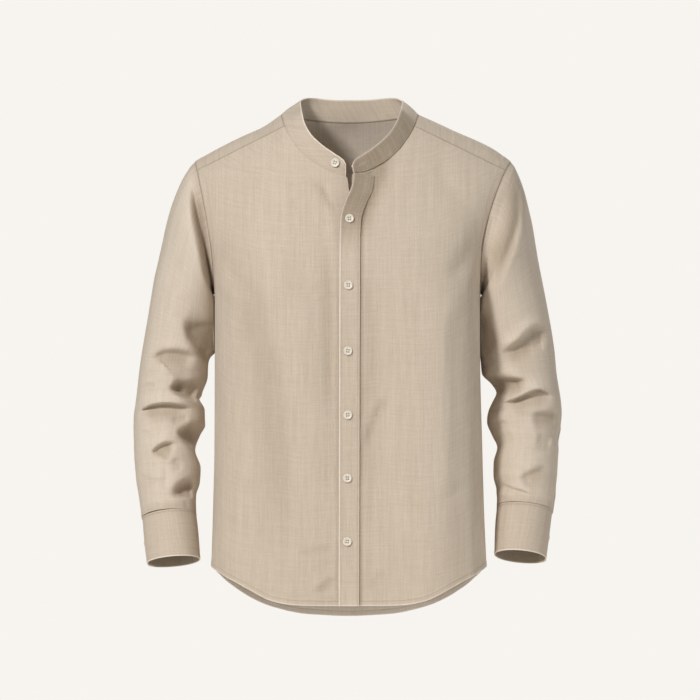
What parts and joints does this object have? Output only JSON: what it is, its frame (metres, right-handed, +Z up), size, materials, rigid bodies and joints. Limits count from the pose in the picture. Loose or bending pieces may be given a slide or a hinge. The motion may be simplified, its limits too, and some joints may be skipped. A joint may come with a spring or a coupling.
{
  "type": "collarless band-collar shirt, filled out, hollow and worn by nobody",
  "caption": "Collarless long-sleeved shirt in beige linen, hollow and filled out, with a band collar, buttoned front placket, back yoke, cuffs and a curved shirt-tail hem.",
  "frame": {"origin": "middle of the neck, level with the neck ends of the shoulder seams, where the wearer holds the shirt up", "axes": "+Z up along the body, +X to the wearer's left, -Y towards the buttoned front"},
  "size_m": [0.6252, 0.2981, 0.7585],
  "materials": {
    "linen": "matte slubbed linen, beige",
    "button": "off-white, softly polished"
  },
  "bodies": {
    "root": {"back": "linen", "button_1": "button", "button_2": "button", "button_3": "button", "button_4": "button", "button_5": "button", "button_6": "button", "button_7": "button", "cuff_button_left": "button", "cuff_button_right": "button", "cuff_left": "linen", "cuff_right": "linen", "front_left": "linen", "front_right": "linen", "neckband": "linen", "placket": "linen", "sleeve_left": "linen", "sleeve_placket_left": "linen", "sleeve_placket_right": "linen", "sleeve_right": "linen", "yoke": "linen"}
  },
  "joints": []
}
